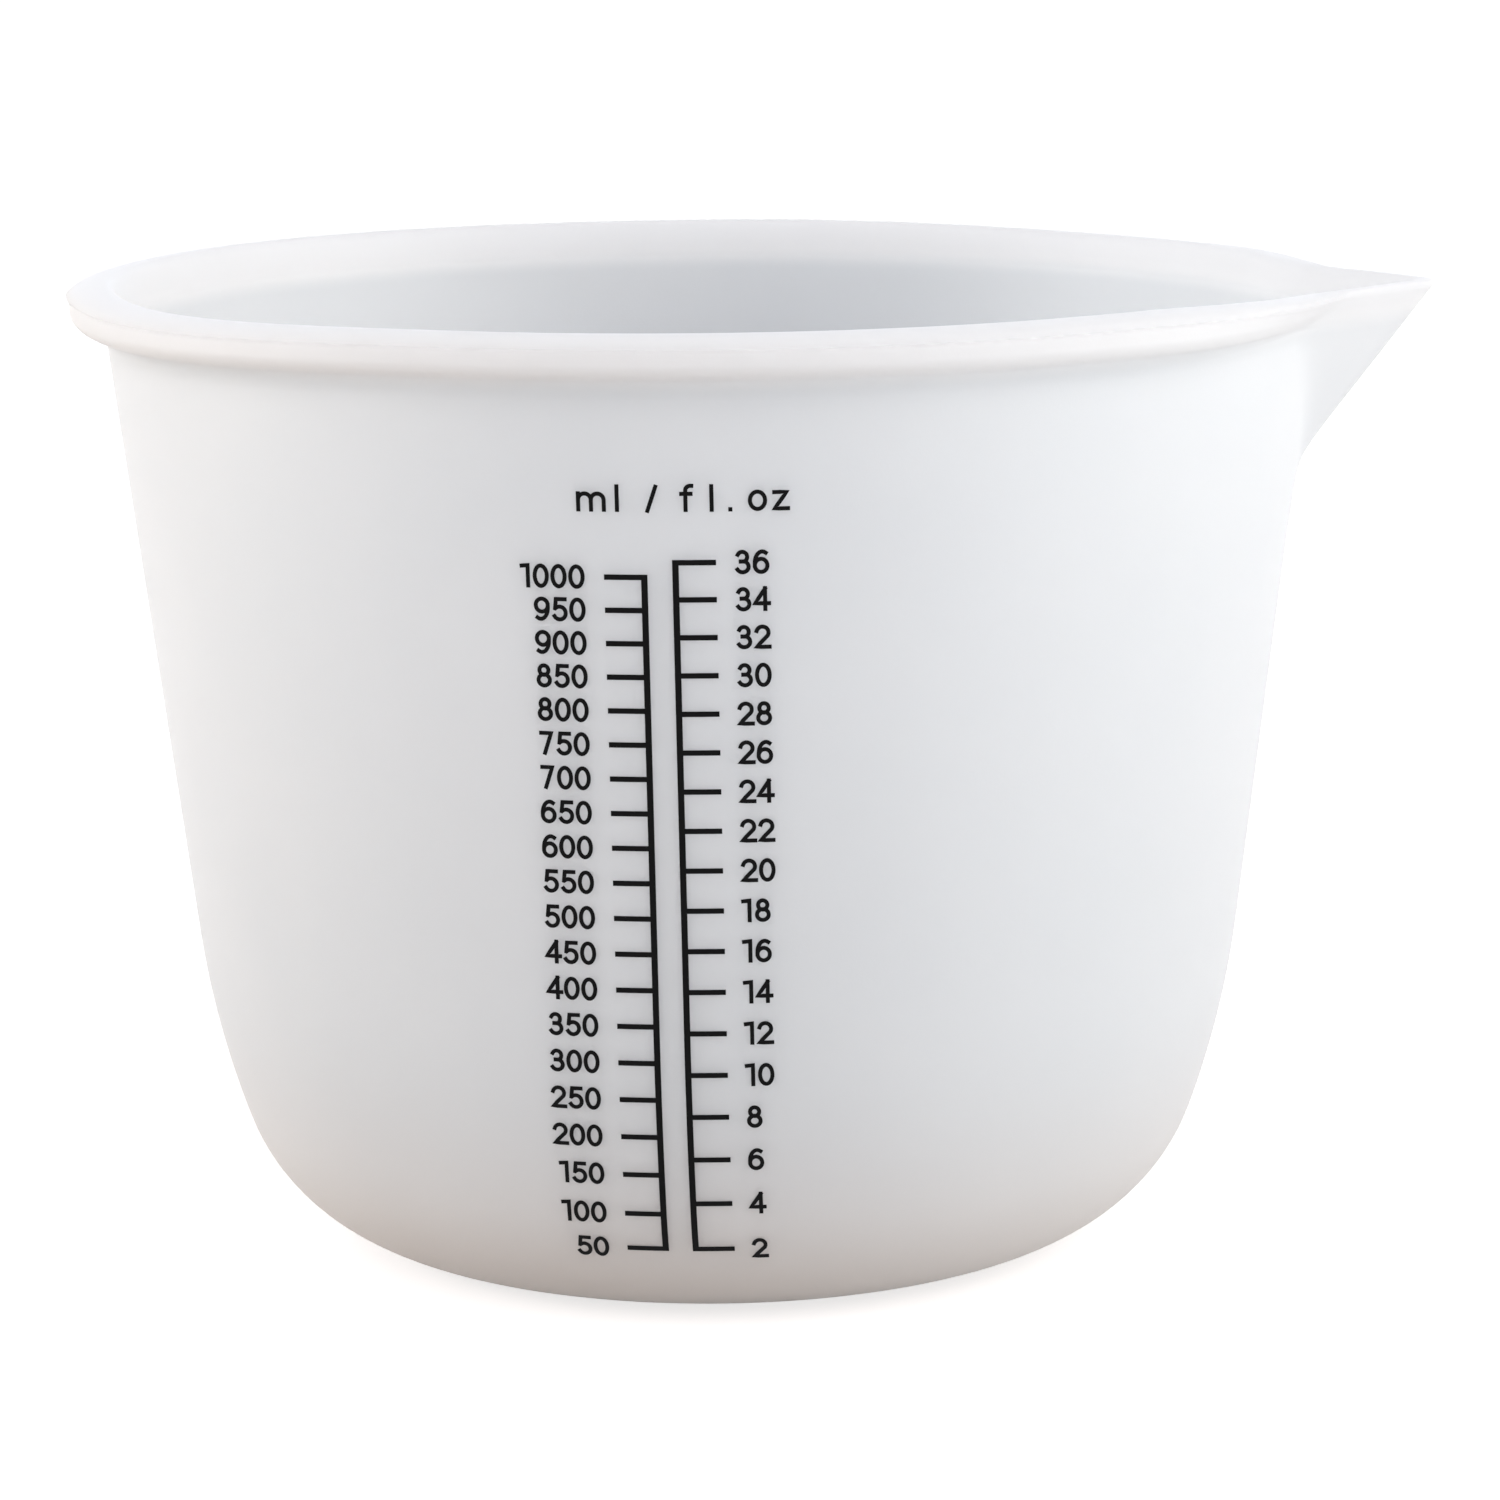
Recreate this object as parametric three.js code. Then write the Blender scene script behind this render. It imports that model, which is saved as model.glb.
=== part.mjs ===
// A one-litre mixing and measuring cup, moulded in one piece from translucent silicone, with a
// rounded heel, a leaning side, a rolled rim, a V-shaped pouring beak and two printed scales.
// Millimetres, +Z up. The origin is the middle of the resting face, the beak points to +X and
// the scales are printed on the side that faces -Y.
import * as THREE from 'three';

// Driving dimensions of the cup.
const HEIGHT = 117; // resting face to the crest of the rim
const BASE_RADIUS = 35; // flat face that the cup rests on
const HEEL_RADIUS = 24; // tight bend between the base and the belly
const HEEL_SLOPE = 70.3; // degrees above level where the heel hands over to the belly
const BELLY_RADIUS = 106; // slack bend between the heel and the straight side
const DRAFT = 7.1; // degrees that the straight side leans out
const FLOOR = 3.6; // thickness of the bottom
const WALL_LOW = 2.2; // thickness of the side where the heel ends
const WALL_HIGH = 2.8; // thickness of the side under the rim

// The rolled rim, in its own section: out from the side's outer face, down from the crest.
const RIM_DEPTH = 5.3; // crest to the foot of the roll on the side
const RIM_OVERHANG = 4; // roll beyond the side's outer face
const RIM_CREST_INSET = 1; // crest inside the line of the side's outer face
const RIM_CORNER = 1.7; // radius of the roll's lower corner
const RIM_CORNER_DROP = 3; // crest to the middle of that corner
const RIM_CORNER_SWEEP = 70; // degrees of bend in that corner
const PARTING_DROP = 1.3; // crest to the parting line, where the roll is widest
const FLASH = 0.55; // thin edge that the mould leaves along the parting line
const FLASH_HALF_HEIGHT = 0.45;
const INNER_ROLL_LAND = 0.6; // level top inside the crest
const INNER_ROLL_DEPTH = 5; // crest to where the roll runs into the inner side

// The pouring beak, a V pulled out of the rim.
const BEAK_PROJECTION = 10.4; // tip beyond the roll
const BEAK_DROP = 1.1; // tip below the crest
const BEAK_SLOPE = 52.6; // degrees above level of the keel under the beak
const BEAK_HALF_ANGLE = 52; // degrees between the keel and either side, seen from above
const BEAK_WALL = 2; // thickness, square to the beak's sides
const LIP_ROUND = 0.4; // drop from the top of the beak's lip to its edges
const LIP_EDGE_SHARE = 0.1; // width of the lip's rounded edge, as a share of the beak's wall
const BEAK_BLEND = 1.3; // size of the fillet between the beak and the cup
const BEAK_TIP_SOFTNESS = 0.02; // how far the keel is rounded, as a share of its radius
const ROLL_GONE = 10; // degrees from the beak's middle where the roll has faded out
const ROLL_FULL = 30; // degrees from the beak's middle where the roll is whole
const BEAK_FULL = 18; // degrees within which the V is followed
const BEAK_GONE = 30; // degrees past which the cup is round again

// The printed scales. A mark's height is where its volume of liquid reaches, less a dip that is
// deepest half way up, but both scales start on the line of the first ounce mark.
const ML_PER_FLUID_OUNCE = 28.4131;
const ML_MARKS = { first: 50, last: 1000, step: 50 };
const OUNCE_MARKS = { first: 2, last: 36, step: 2 };
const PRINT_DIP = 0.55; // how much lower than its volume the middle of a scale is printed
const PRINT_ASIDE = 0.16; // middle of the print from the cup's front line, away from the beak
const SPINE_PITCH = 3.4; // between the two upright lines
const SPINE_WIDTH = 0.7;
const MARK_LENGTH = 4.4; // from the middle of the upright line to the mark's end
const MARK_WIDTH = 0.6;
const PRINT_GAP = 0.3; // clearance between the side and the print
const PRINT_THICKNESS = 0.2;
const PRINT_MARGIN = 8; // least height of plain side between the top mark and the roll

// Fineness of the faceting.
const TURN_STEPS = 76;
const BEAK_CROWDING = 0.5; // how much closer the steps stand at the beak than on average
const HEEL_STEPS = 6;
const BELLY_STEPS = 4;
const ROLL_STEPS = 4;
const CORNER_STEPS = 3;
const VOLUME_SLICES = 400;
const KEEL_RINGS = [-4, -1.5, 0, 1.5, 4]; // fillet sizes from the foot of the keel to each ring
const BLEND_REACH = 9; // fillet sizes below the keel where the beak no longer bends the side

const CUBIC_MM_PER_ML = 1000;

const radians = THREE.MathUtils.degToRad;
const { lerp, smoothstep } = THREE.MathUtils;

// The outer side, named by its slope: 0 is level and 90 is upright.
const SIDE_SLOPE = 90 - DRAFT;
const heelTop = {
  radius: BASE_RADIUS + HEEL_RADIUS * Math.sin(radians(HEEL_SLOPE)),
  height: HEEL_RADIUS * (1 - Math.cos(radians(HEEL_SLOPE))),
};
const bellyRise = Math.cos(radians(HEEL_SLOPE)) - Math.cos(radians(SIDE_SLOPE));
const bellySpread = Math.sin(radians(SIDE_SLOPE)) - Math.sin(radians(HEEL_SLOPE));
const bellyTop = {
  radius: heelTop.radius + BELLY_RADIUS * bellySpread,
  height: heelTop.height + BELLY_RADIUS * bellyRise,
};

// Radius, height and slope of the outer side at a slope in the heel or the belly.
function heelPoint(slope) {
  const radius = BASE_RADIUS + HEEL_RADIUS * Math.sin(radians(slope));
  const height = HEEL_RADIUS * (1 - Math.cos(radians(slope)));
  return { radius, height, slope };
}

function bellyPoint(slope) {
  const spread = Math.sin(radians(slope)) - Math.sin(radians(HEEL_SLOPE));
  const rise = Math.cos(radians(HEEL_SLOPE)) - Math.cos(radians(slope));
  return {
    radius: heelTop.radius + BELLY_RADIUS * spread,
    height: heelTop.height + BELLY_RADIUS * rise,
    slope,
  };
}

function sidePoint(height) {
  const radius = bellyTop.radius + (height - bellyTop.height) * Math.tan(radians(DRAFT));
  return { radius, height, slope: SIDE_SLOPE };
}

// The outer side at any height above the base.
function outerAt(height) {
  if (height >= bellyTop.height) return sidePoint(height);
  if (height >= heelTop.height) {
    const cosine = Math.cos(radians(HEEL_SLOPE)) - (height - heelTop.height) / BELLY_RADIUS;
    return bellyPoint(THREE.MathUtils.radToDeg(Math.acos(cosine)));
  }
  return heelPoint(THREE.MathUtils.radToDeg(Math.acos(1 - height / HEEL_RADIUS)));
}

// The wall thins from the floor to the end of the heel, then thickens towards the rim.
const RIM_FOOT = HEIGHT - RIM_DEPTH;
function thicknessAt(point) {
  if (point.slope < HEEL_SLOPE) return lerp(FLOOR, WALL_LOW, point.slope / HEEL_SLOPE);
  const climb = (point.height - heelTop.height) / (RIM_FOOT - heelTop.height);
  return lerp(WALL_LOW, WALL_HIGH, Math.min(climb, 1));
}

// A point of the section moved square to the outer side, inwards where the distance is negative.
function offset(point, distance) {
  return {
    radius: point.radius + distance * Math.sin(radians(point.slope)),
    height: point.height - distance * Math.cos(radians(point.slope)),
    slope: point.slope,
  };
}

function innerPoint(point) {
  return offset(point, -thicknessAt(point));
}

// The roll, and the beak's tip and keel. The keel runs down to where it meets the side.
const rimFoot = sidePoint(RIM_FOOT);
const rollRadius = rimFoot.radius + RIM_OVERHANG;
const crestRadius = sidePoint(HEIGHT).radius - RIM_CREST_INSET;
const partingHeight = HEIGHT - PARTING_DROP;
const cornerMiddle = { radius: rollRadius - RIM_CORNER, height: HEIGHT - RIM_CORNER_DROP };
const innerFoot = innerPoint(sidePoint(HEIGHT - INNER_ROLL_DEPTH));
const tipRadius = rollRadius + BEAK_PROJECTION;
const tipHeight = HEIGHT - BEAK_DROP;
const keelRise = Math.tan(radians(BEAK_SLOPE));
const keelGap = tipRadius - sidePoint(tipHeight).radius;
const keelFoot = tipHeight - keelGap / (1 / keelRise - Math.tan(radians(DRAFT)));

// Heights on the straight side where the section has a ring, closer together at the beak.
const sideHeights = [
  (bellyTop.height + keelFoot) / 2,
  ...KEEL_RINGS.map((fillets) => keelFoot + fillets * BEAK_BLEND),
];

// Slopes of the rings in the heel and the belly.
const heelSlopes = Array.from({ length: HEEL_STEPS }, (_, i) => (HEEL_SLOPE * (i + 1)) / HEEL_STEPS);
const bellySlopes = Array.from(
  { length: BELLY_STEPS },
  (_, i) => lerp(HEEL_SLOPE, SIDE_SLOPE, (i + 1) / BELLY_STEPS),
);

// The section is a list of rings from the middle of the base, up the outside, over the rim and
// down the inside to the middle of the floor. Each ring has its place on the round cup, and its
// place where the roll has faded into the beak. Its depth is 0 on the outside of the beak's wall
// and 1 on the inside.
function plainRing(point, depth) {
  return {
    radius: point.radius,
    height: point.height,
    beakRadius: point.radius,
    beakHeight: point.height,
    depth,
  };
}

// The outside of the roll, from its foot to the parting line.
function rollOutside() {
  const points = [{ radius: rimFoot.radius, height: RIM_FOOT }];
  for (let i = 0; i <= CORNER_STEPS; i += 1) {
    const angle = radians(RIM_CORNER_SWEEP * (i / CORNER_STEPS - 1));
    points.push({
      radius: cornerMiddle.radius + RIM_CORNER * Math.cos(angle),
      height: cornerMiddle.height + RIM_CORNER * Math.sin(angle),
    });
  }
  points.push({ radius: rollRadius, height: partingHeight - FLASH_HALF_HEIGHT });
  points.push({ radius: rollRadius + FLASH, height: partingHeight });
  return points;
}

// The top of the roll, a quarter of an ellipse from the parting line to the crest.
function rollTop() {
  const points = [];
  const reach = rollRadius - crestRadius;
  const start = Math.asin(FLASH_HALF_HEIGHT / PARTING_DROP);
  for (let i = 0; i <= ROLL_STEPS; i += 1) {
    const angle = lerp(start, Math.PI / 2, i / ROLL_STEPS);
    points.push({
      radius: crestRadius + reach * Math.cos(angle),
      height: partingHeight + PARTING_DROP * Math.sin(angle),
    });
  }
  return points;
}

// The inside of the roll, a level land and then a straight slope down to the inner side.
function rollInside() {
  const landRadius = crestRadius - INNER_ROLL_LAND;
  const points = [];
  for (let i = 0; i < ROLL_STEPS; i += 1) {
    const share = i / (ROLL_STEPS - 1);
    points.push({
      radius: lerp(landRadius, innerFoot.radius, share),
      height: lerp(HEIGHT, innerFoot.height, share),
    });
  }
  return points;
}

// Where the roll has faded, its outside is a plain flare up to the lip, its top is the lip's
// rounded edge and its inside is the beak's channel.
function fadedRings(points, place) {
  return points.map((point, i) => {
    const share = i / (points.length - 1);
    return { radius: point.radius, height: point.height, ...place(share, point) };
  });
}

const outsideRings = fadedRings(rollOutside(), (share) => ({
  beakRadius: lerp(rimFoot.radius, rollRadius, share),
  beakHeight: lerp(RIM_FOOT, tipHeight - 2 * LIP_ROUND, share),
  depth: 0,
}));
const topRings = fadedRings(rollTop(), (share) => ({
  beakRadius: lerp(rollRadius, crestRadius, share),
  beakHeight: tipHeight - LIP_ROUND * (2 * share - 1) ** 4,
  depth: lerp(LIP_EDGE_SHARE, 1 - LIP_EDGE_SHARE, share),
}));
const insideRings = fadedRings(rollInside(), (share, point) => ({
  beakRadius: point.radius,
  beakHeight: lerp(tipHeight - 2 * LIP_ROUND, innerFoot.height, share),
  depth: 1,
}));

const outerSide = [
  { radius: BASE_RADIUS, height: 0, slope: 0 },
  ...heelSlopes.map(heelPoint),
  ...bellySlopes.map(bellyPoint),
  ...sideHeights.map(sidePoint),
];
const innerSide = outerSide.map(innerPoint);
const section = [
  plainRing({ radius: 0, height: 0 }, 0),
  ...outerSide.map((point) => plainRing(point, 0)),
  ...outsideRings,
  ...topRings,
  ...insideRings,
  ...innerSide.map((point) => plainRing(point, 1)).reverse(),
  plainRing({ radius: 0, height: FLOOR }, 1),
];

// The larger of two lengths, with a fillet where they are nearly equal.
function filletedLarger(a, b) {
  return (a + b + Math.hypot(a - b, BEAK_BLEND)) / 2;
}

// Distance from the cup axis to the beak's V-shaped wall at a height and an angle from +X.
const crossSlope = 1 / Math.tan(radians(BEAK_HALF_ANGLE));
const wallShift = BEAK_WALL * Math.hypot(1, crossSlope, 1 / keelRise);
function beakDistance(height, angle, depth) {
  const keel = tipRadius - (tipHeight - height) / keelRise - depth * wallShift;
  const sine = Math.hypot(Math.sin(angle), BEAK_TIP_SOFTNESS) - BEAK_TIP_SOFTNESS;
  return keel / (Math.cos(angle) + crossSlope * sine);
}

// A ring's point at an angle from +X.
function cupPoint(ring, angle) {
  const away = Math.abs(angle);
  const faded = 1 - smoothstep(away, radians(ROLL_GONE), radians(ROLL_FULL));
  const followed = 1 - smoothstep(away, radians(BEAK_FULL), radians(BEAK_GONE));
  const round = lerp(ring.radius, ring.beakRadius, faded);
  const height = lerp(ring.height, ring.beakHeight, faded);
  if (followed === 0 || height < keelFoot - BLEND_REACH * BEAK_BLEND) {
    return { radius: round, height };
  }
  const pulled = filletedLarger(round, beakDistance(height, angle, ring.depth));
  return { radius: lerp(round, pulled, followed), height };
}

// The cup is turned from its section, and the beak is then pulled out of the turned form.
function makeCup() {
  const outline = section.map((ring) => new THREE.Vector2(ring.radius, ring.height));
  const geometry = new THREE.LatheGeometry(outline, TURN_STEPS);
  const position = geometry.attributes.position;
  for (let turn = 0; turn <= TURN_STEPS; turn += 1) {
    const even = ((turn % TURN_STEPS) / TURN_STEPS) * 2 * Math.PI - Math.PI;
    const angle = even - BEAK_CROWDING * Math.sin(even);
    section.forEach((ring, i) => {
      const { radius, height } = cupPoint(ring, angle);
      const x = radius * Math.cos(angle);
      const y = radius * Math.sin(angle);
      position.setXYZ(turn * section.length + i, x, y, height);
    });
  }
  geometry.computeVertexNormals();
  return geometry;
}

// Inner radius at a height, between the rings of the inside.
function innerRadiusAt(height) {
  const above = innerSide.findIndex((point) => point.height >= height);
  if (above < 0) return innerFoot.radius;
  if (above === 0) return innerSide[0].radius;
  const low = innerSide[above - 1];
  const high = innerSide[above];
  const share = (height - low.height) / (high.height - low.height);
  return lerp(low.radius, high.radius, share);
}

// Height that a volume of liquid reaches, from thin slices of the inside, less the print's dip.
function levelOf(millilitres) {
  const filled = millilitres / ML_MARKS.last;
  const dip = PRINT_DIP * 4 * filled * Math.max(1 - filled, 0);
  const volume = millilitres * CUBIC_MM_PER_ML;
  const slice = (HEIGHT - FLOOR) / VOLUME_SLICES;
  let held = 0;
  let level = FLOOR;
  while (held < volume && level < HEIGHT) {
    held += Math.PI * innerRadiusAt(level + slice / 2) ** 2 * slice;
    level += slice;
  }
  return level - (held - volume) / (Math.PI * innerRadiusAt(level) ** 2) - dip;
}

// Levels of a scale's marks, from the start line up to the last one that fits below the roll.
const startLine = levelOf(OUNCE_MARKS.first * ML_PER_FLUID_OUNCE);
function markLevels(marks, millilitresEach) {
  const levels = [startLine];
  for (let mark = marks.first + marks.step; mark <= marks.last; mark += marks.step) {
    const level = levelOf(mark * millilitresEach);
    if (level <= RIM_FOOT - PRINT_MARGIN) levels.push(level);
  }
  return levels;
}

// A point of the print: across the front, up the side and out from it.
function printPoint(across, height, out) {
  const foot = outerAt(height);
  const angle = (across - PRINT_ASIDE) / foot.radius - Math.PI / 2;
  const point = offset(foot, out);
  return [point.radius * Math.cos(angle), point.radius * Math.sin(angle), point.height];
}

// One scale is an upright line with a mark at each level, all one film of ink. It is a grid of
// cells, two columns for the mark and one for the line, where a cell between marks is only line.
function makeScale(levels, side) {
  const line = (side * SPINE_PITCH) / 2;
  const columns = [
    line - (side * SPINE_WIDTH) / 2,
    line + (side * SPINE_WIDTH) / 2,
    line + (side * MARK_LENGTH) / 2,
    line + side * MARK_LENGTH,
  ];
  const rows = levels.flatMap((level) => [level - MARK_WIDTH / 2, level + MARK_WIDTH / 2]);
  const near = PRINT_GAP;
  const far = PRINT_GAP + PRINT_THICKNESS;
  const inked = (column, row) => {
    if (row < 0 || row >= rows.length - 1) return false;
    if (column < 0 || column >= columns.length - 1) return false;
    return column === 0 || row % 2 === 0;
  };
  const corners = [];
  const face = (a, b, c, d) => {
    const order = side > 0 ? [a, b, c, a, c, d] : [a, c, b, a, d, c];
    order.forEach(([column, row, out]) => {
      corners.push(...printPoint(columns[column], rows[row], out));
    });
  };
  for (let row = 0; row < rows.length - 1; row += 1) {
    for (let column = 0; column < columns.length - 1; column += 1) {
      if (inked(column, row)) {
        const [c, r] = [column, row];
        face([c, r, far], [c + 1, r, far], [c + 1, r + 1, far], [c, r + 1, far]);
        face([c, r, near], [c, r + 1, near], [c + 1, r + 1, near], [c + 1, r, near]);
        if (!inked(c, r - 1)) face([c, r, near], [c + 1, r, near], [c + 1, r, far], [c, r, far]);
        if (!inked(c, r + 1)) {
          face([c, r + 1, far], [c + 1, r + 1, far], [c + 1, r + 1, near], [c, r + 1, near]);
        }
        if (!inked(c - 1, r)) face([c, r, near], [c, r, far], [c, r + 1, far], [c, r + 1, near]);
        if (!inked(c + 1, r)) {
          face([c + 1, r, far], [c + 1, r, near], [c + 1, r + 1, near], [c + 1, r + 1, far]);
        }
      }
    }
  }
  const geometry = new THREE.BufferGeometry();
  geometry.setAttribute('position', new THREE.Float32BufferAttribute(corners, 3));
  geometry.computeVertexNormals();
  return geometry;
}

function piece(name, geometry, material) {
  const mesh = new THREE.Mesh(geometry, material);
  mesh.name = name;
  return mesh;
}

const silicone = new THREE.MeshStandardMaterial({ color: 0xeceef0, roughness: 0.5, metalness: 0 });
const ink = new THREE.MeshStandardMaterial({ color: 0x141414, roughness: 0.6, metalness: 0 });

const measuringCup = new THREE.Group();
measuringCup.add(piece('cup_body', makeCup(), silicone));
measuringCup.add(piece('ml_scale', makeScale(markLevels(ML_MARKS, 1), -1), ink));
measuringCup.add(piece('oz_scale', makeScale(markLevels(OUNCE_MARKS, ML_PER_FLUID_OUNCE), 1), ink));

export default measuringCup;
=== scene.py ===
# %% [markdown]
# A one-litre measuring cup, moulded in one piece from soft, milky silicone: a round bowl with a
# rounded heel, a rolled rim, a V-shaped pouring beak, and two scales printed in black ink.
# The frame of solids is loaded first and never changed. Every piece made below takes its place
# from it: the beak points to +X, the print is on the side that faces -Y, and +Z is up.

# %% Load the frame
import math

import bpy
import mathutils
import numpy as np
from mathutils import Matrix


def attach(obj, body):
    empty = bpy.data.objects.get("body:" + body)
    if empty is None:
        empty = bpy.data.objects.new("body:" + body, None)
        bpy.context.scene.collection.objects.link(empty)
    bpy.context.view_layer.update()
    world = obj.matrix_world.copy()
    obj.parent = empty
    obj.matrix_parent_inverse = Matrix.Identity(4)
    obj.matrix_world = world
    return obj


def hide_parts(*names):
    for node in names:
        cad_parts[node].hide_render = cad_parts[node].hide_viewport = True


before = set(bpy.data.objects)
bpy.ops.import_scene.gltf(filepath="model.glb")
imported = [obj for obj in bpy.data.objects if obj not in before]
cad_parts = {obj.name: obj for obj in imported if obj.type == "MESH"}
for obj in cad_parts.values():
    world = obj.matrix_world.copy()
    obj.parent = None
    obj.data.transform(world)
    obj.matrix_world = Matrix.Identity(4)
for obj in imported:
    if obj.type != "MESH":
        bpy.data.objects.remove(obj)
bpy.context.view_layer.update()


# %% [markdown]
# Blender works in metres and a cup is drawn in millimetres, so every size below is written as
# millimetres times MM. Colours are written as the hex values that a picture shows, and one
# function turns them to the linear values that the shaders want.

# %% Units, colours and small helpers
MM = 0.001


def linear(hex_colour):
    def channel(pair):
        value = int(pair, 16) / 255
        return value / 12.92 if value <= 0.04045 else ((value + 0.055) / 1.055) ** 2.4

    return tuple(channel(hex_colour[i:i + 2]) for i in (1, 3, 5)) + (1.0,)


def select_only(thing):
    bpy.ops.object.select_all(action="DESELECT")
    thing.select_set(True)
    bpy.context.view_layer.objects.active = thing


def name_new(name):
    thing = bpy.context.object
    thing.name = name
    thing.data.name = name
    return thing


def vertices_of(thing):
    places = np.empty(len(thing.data.vertices) * 3)
    thing.data.vertices.foreach_get("co", places)
    return places.reshape(-1, 3)


def move_vertices(thing, places):
    thing.data.vertices.foreach_set("co", np.asarray(places, dtype=float).ravel())
    thing.data.update()


print("one millimetre is", MM, "m")


# %% [markdown]
# The wall of the real cup is one skin of silicone, about 3.6 mm thick in the floor and 2.2 to
# 2.8 mm up the side. It could be a surface with a Solidify modifier, but the wall changes
# thickness on the way up and ends in a solid rolled rim, so the whole section is drawn: up the
# outside, over the rim and down the inside. The section's sizes come first.

# %% Sizes of the cup
HEIGHT = 117 * MM
BASE_RADIUS = 35 * MM
HEEL_RADIUS = 24 * MM
HEEL_SLOPE = math.radians(70.3)
BELLY_RADIUS = 106 * MM
DRAFT = math.radians(7.1)
FLOOR = 3.6 * MM
WALL_LOW = 2.2 * MM
WALL_HIGH = 2.8 * MM

RIM_DEPTH = 5.3 * MM
RIM_OVERHANG = 4.1 * MM
RIM_CREST_INSET = 1 * MM
RIM_CORNER = 1.7 * MM
RIM_CORNER_DROP = 3 * MM
RIM_CORNER_SWEEP = math.radians(70)
RIM_FOOT_FILLET = 2.1 * MM
PARTING_DROP = 1.3 * MM
FLASH = 0.32 * MM
FLASH_HALF_HEIGHT = 0.45 * MM
INNER_ROLL_DEPTH = 5 * MM
INNER_ROLL_LAND = 0.6 * MM
INNER_ROLL_ROUND = 0.5 * MM

SIDE_SLOPE = math.pi / 2 - DRAFT
RIM_FOOT = HEIGHT - RIM_DEPTH
heel_top_radius = BASE_RADIUS + HEEL_RADIUS * math.sin(HEEL_SLOPE)
heel_top_height = HEEL_RADIUS * (1 - math.cos(HEEL_SLOPE))
belly_top_radius = heel_top_radius + BELLY_RADIUS * (math.sin(SIDE_SLOPE) - math.sin(HEEL_SLOPE))
belly_top_height = heel_top_height + BELLY_RADIUS * (math.cos(HEEL_SLOPE) - math.cos(SIDE_SLOPE))

print("the rim starts at", round(RIM_FOOT / MM, 1), "mm")


# %% [markdown]
# The outer side is a heel, a belly and a straight side that leans out, two arcs and a line that
# run into each other smoothly. A point on it is its radius, its height and its slope. The inner
# side lies one wall thickness inside it.

# %% The outer side and the inner side
def heel_point(slope):
    return BASE_RADIUS + HEEL_RADIUS * math.sin(slope), HEEL_RADIUS * (1 - math.cos(slope)), slope


def belly_point(slope):
    radius = heel_top_radius + BELLY_RADIUS * (math.sin(slope) - math.sin(HEEL_SLOPE))
    height = heel_top_height + BELLY_RADIUS * (math.cos(HEEL_SLOPE) - math.cos(slope))
    return radius, height, slope


def side_point(height):
    radius = belly_top_radius + (height - belly_top_height) * math.tan(DRAFT)
    return radius, height, SIDE_SLOPE


def outer_at(height):
    if height >= belly_top_height:
        return side_point(height)
    if height >= heel_top_height:
        cosine = math.cos(HEEL_SLOPE) - (height - heel_top_height) / BELLY_RADIUS
        return belly_point(math.acos(cosine))
    return heel_point(math.acos(1 - height / HEEL_RADIUS))


def inner_point(point):
    radius, height, slope = point
    if slope < HEEL_SLOPE:
        thickness = FLOOR + (WALL_LOW - FLOOR) * slope / HEEL_SLOPE
    else:
        climb = min((height - heel_top_height) / (RIM_FOOT - heel_top_height), 1)
        thickness = WALL_LOW + (WALL_HIGH - WALL_LOW) * climb
    return radius - thickness * math.sin(slope), height + thickness * math.cos(slope)


print("belly meets the straight side at", round(belly_top_height / MM, 1), "mm")


# %% [markdown]
# The beak is a V moulded with the rim: its keel runs down to the side in a straight line, and the
# rolled rim fades away on both sides of it, more slowly in front. The rings of the section lie
# closest where the shape turns most, at the rim and beside the beak.

# %% Sizes of the beak, and the number of rings
BEAK_PROJECTION = 10.24 * MM
BEAK_DROP = 1.1 * MM
BEAK_SLOPE = math.radians(52.6)
BEAK_HALF_ANGLE = math.radians(52)
BEAK_WALL = 2 * MM
LIP_ROUND = 0.4 * MM
LIP_EDGE_SHARE = 0.1
BEAK_BLEND = 1.3 * MM
BEAK_TIP_SOFTNESS = 0.02
ROLL_GONE = math.radians(10)
ROLL_FULL = math.radians(30)
ROLL_FULL_IN_FRONT = math.radians(44)
BEAK_FULL = math.radians(18)
BEAK_GONE = math.radians(30)

BASE_RINGS = 3
HEEL_RINGS = 22
BELLY_RINGS = 12
SIDE_RING_PITCH = 2.8 * MM
BEAK_RING_PITCH = 0.9 * MM
BEAK_RING_ROOM = 8 * MM
ROLL_RINGS = 12
CORNER_RINGS = 8
FILLET_RINGS = 5
INNER_BEND_RINGS = 6

rim_foot_radius = side_point(RIM_FOOT)[0]
roll_radius = rim_foot_radius + RIM_OVERHANG
crest_radius = side_point(HEIGHT)[0] - RIM_CREST_INSET
parting_height = HEIGHT - PARTING_DROP
inner_foot = inner_point(side_point(HEIGHT - INNER_ROLL_DEPTH))
tip_radius = roll_radius + BEAK_PROJECTION
tip_height = HEIGHT - BEAK_DROP
keel_rise = math.tan(BEAK_SLOPE)
keel_gap = tip_radius - side_point(tip_height)[0]
keel_foot = tip_height - keel_gap / (1 / keel_rise - math.tan(DRAFT))
print("keel meets the side at", round(keel_foot / MM, 1), "mm")


# %% [markdown]
# Every stretch of the section is divided evenly into steps, without its start, which belongs to
# the stretch before it. A soft corner is bent between two straight lines. The straight side has
# its rings closest where the beak grows out of it.

# %% Steps, soft corners and the rings of the side
def steps(start, end, count):
    return [start + (end - start) * i / count for i in range(1, count + 1)]


def side_heights():
    dense_from = keel_foot - BEAK_RING_ROOM
    fillet_foot = RIM_FOOT - RIM_FOOT_FILLET
    coarse = math.ceil((dense_from - belly_top_height) / SIDE_RING_PITCH)
    dense = math.ceil((fillet_foot - dense_from) / BEAK_RING_PITCH)
    return steps(belly_top_height, dense_from, coarse) + steps(dense_from, fillet_foot, dense)


def bent(start, bend, end, count):
    return [
        [(1 - t) ** 2 * start[k] + 2 * t * (1 - t) * bend[k] + t ** 2 * end[k] for k in (0, 1)]
        for t in steps(0, 1, count)
    ]


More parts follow.
